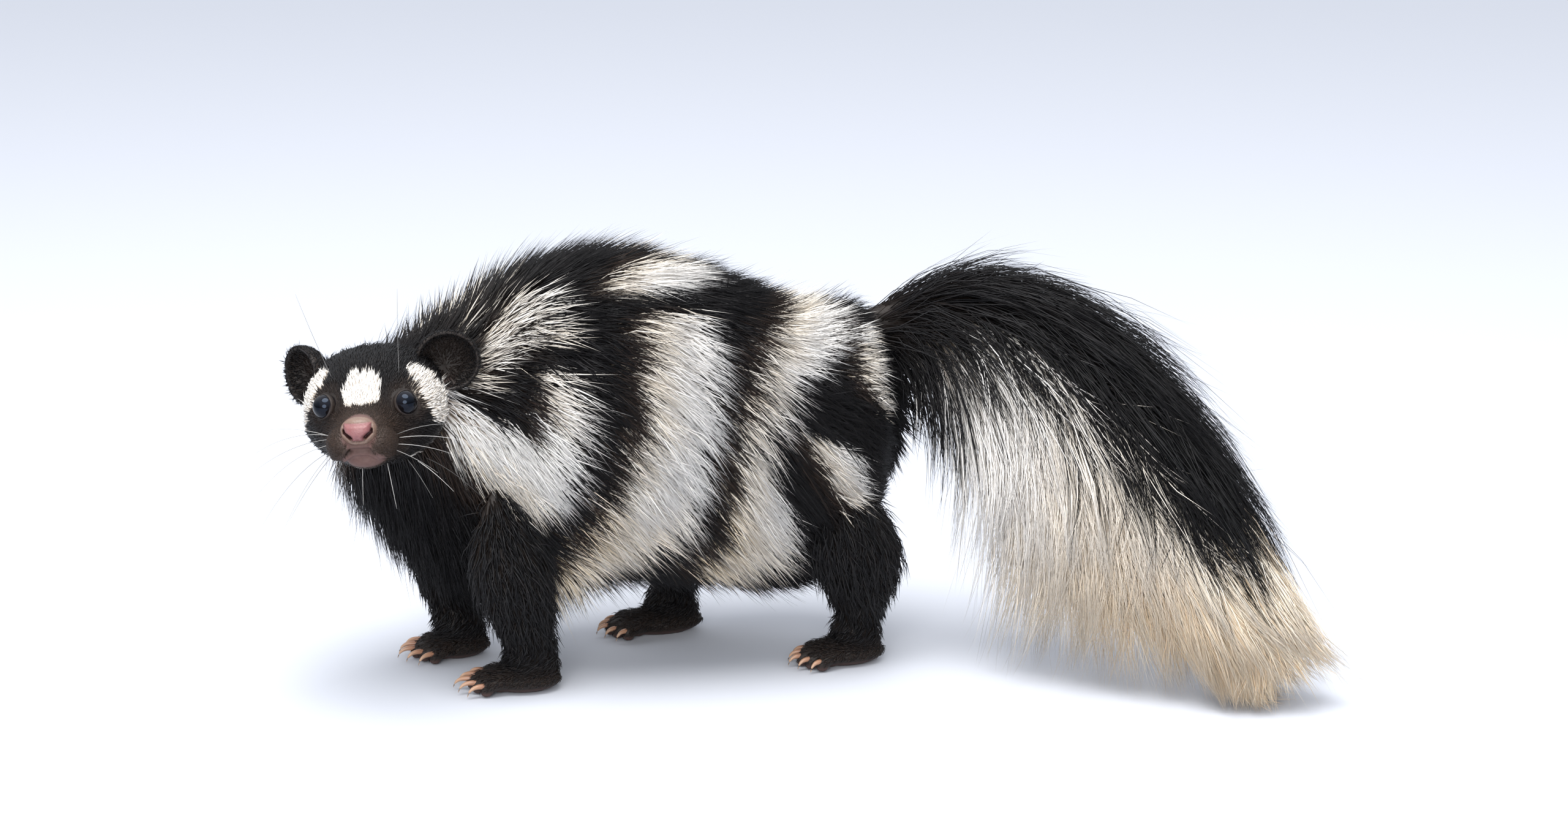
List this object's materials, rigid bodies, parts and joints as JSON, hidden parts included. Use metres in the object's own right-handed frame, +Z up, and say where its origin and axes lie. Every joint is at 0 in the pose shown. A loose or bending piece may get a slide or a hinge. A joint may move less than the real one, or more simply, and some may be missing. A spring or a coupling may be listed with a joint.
{
  "type": "standing spotted skunk, still life-size model",
  "caption": "Life-size spotted skunk standing on four feet with the head turned to one side and a long plumed tail arched down to the floor.",
  "frame": {"origin": "on the floor, under the middle of the whole animal's box", "axes": "+X from the head end of the spine towards the rump and tail, +Z up; the face and the tail turn towards -Y, the animal's left"},
  "size_m": [0.3274, 0.1608, 0.148],
  "materials": {
    "dark_coat": "black hair with a soft sheen, marked with white stripes and spots",
    "tail_hair": "long cream-white hair, black along the upper side",
    "nose_skin": "bare moist pink skin",
    "ear_skin": "thin skin with short black hair, pinkish inside",
    "paw_skin": "short dark hair over pinkish skin, pale claws",
    "eye": "wet, glossy, nearly black"
  },
  "bodies": {
    "root": {"head": "dark_coat", "nose": "nose_skin", "eye_left": "eye", "eye_right": "eye", "ear_left": "ear_skin", "ear_right": "ear_skin", "neck": "dark_coat", "torso": "dark_coat", "tail": "tail_hair", "leg_front_left": "dark_coat", "leg_front_right": "dark_coat", "leg_hind_left": "dark_coat", "leg_hind_right": "dark_coat", "paw_front_left": "paw_skin", "paw_front_right": "paw_skin", "paw_hind_left": "paw_skin", "paw_hind_right": "paw_skin"}
  },
  "joints": []
}
